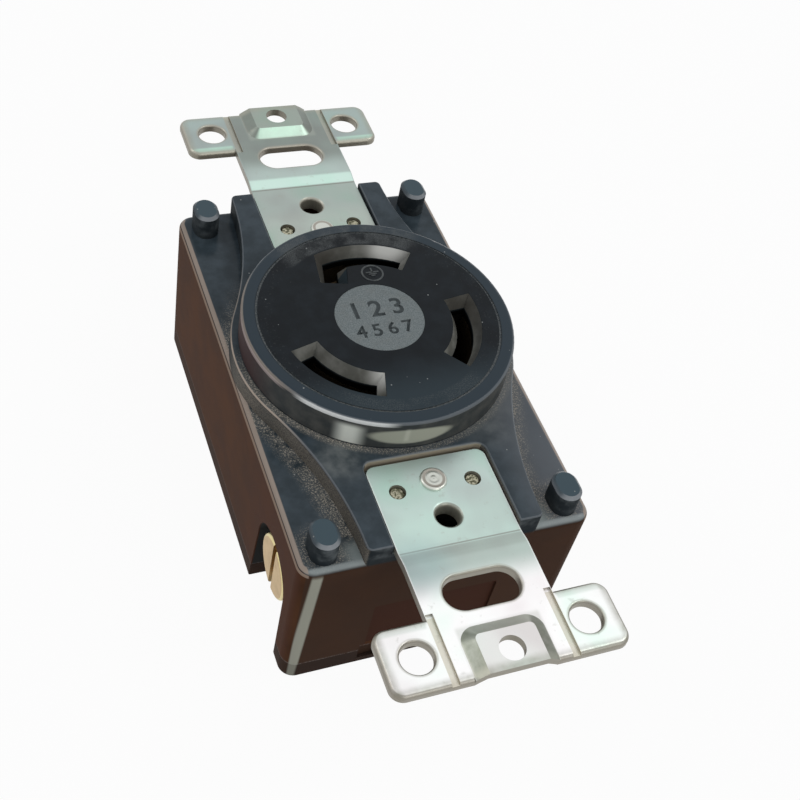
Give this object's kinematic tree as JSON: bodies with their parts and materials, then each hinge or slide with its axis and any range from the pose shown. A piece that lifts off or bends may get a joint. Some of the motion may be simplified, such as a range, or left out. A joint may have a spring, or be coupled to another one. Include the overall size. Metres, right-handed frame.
{
  "type": "twist lock receptacle",
  "caption": "Flush twist lock power receptacle: moulded rectangular body, round face with curved locking slots, metal mounting straps with ears, screw terminals in side wells.",
  "frame": {"origin": "middle of the flat rear face of the body", "axes": "+X across the body, +Y along the straps towards the ground slot, +Z out of the wall towards the plug face"},
  "size_m": [0.041, 0.1066, 0.0342],
  "materials": {
    "housing_moulding": "hard black thermoset moulding, glossy with fine flow marks",
    "cover_moulding": "hard black thermoset moulding, slightly duller than the front",
    "base_moulding": "dull black thermoset moulding inside",
    "disc_insert": "grey grainy insert",
    "strap_steel": "zinc plated steel with a faint green and pink tint",
    "rivet_steel": "plated rivet, polished head",
    "screw_steel": "plated steel with a faint yellow tint",
    "contact_brass": "bright rolled brass",
    "clamp_brass": "bright pressed brass",
    "terminal_brass": "turned brass",
    "ground_green": "turned brass, dyed green",
    "link_steel": "zinc plated steel"
  },
  "bodies": {
    "root": {"front_housing": "housing_moulding", "rear_cover": "cover_moulding", "contact_base": "base_moulding", "rating_disc": "disc_insert", "mounting_strap_top": "strap_steel", "mounting_strap_bottom": "strap_steel", "strap_rivet_top": "rivet_steel", "strap_rivet_bottom": "rivet_steel", "assembly_screw_1": "screw_steel", "assembly_screw_2": "screw_steel", "assembly_screw_3": "screw_steel", "assembly_screw_4": "screw_steel", "line_contact_left": "contact_brass", "line_contact_right": "contact_brass", "ground_contact": "contact_brass", "line_clamp_left": "clamp_brass", "line_clamp_right": "clamp_brass", "ground_clamp": "clamp_brass", "line_screw_left": "terminal_brass", "line_screw_right": "terminal_brass", "ground_screw": "ground_green", "ground_link": "link_steel"}
  },
  "joints": []
}
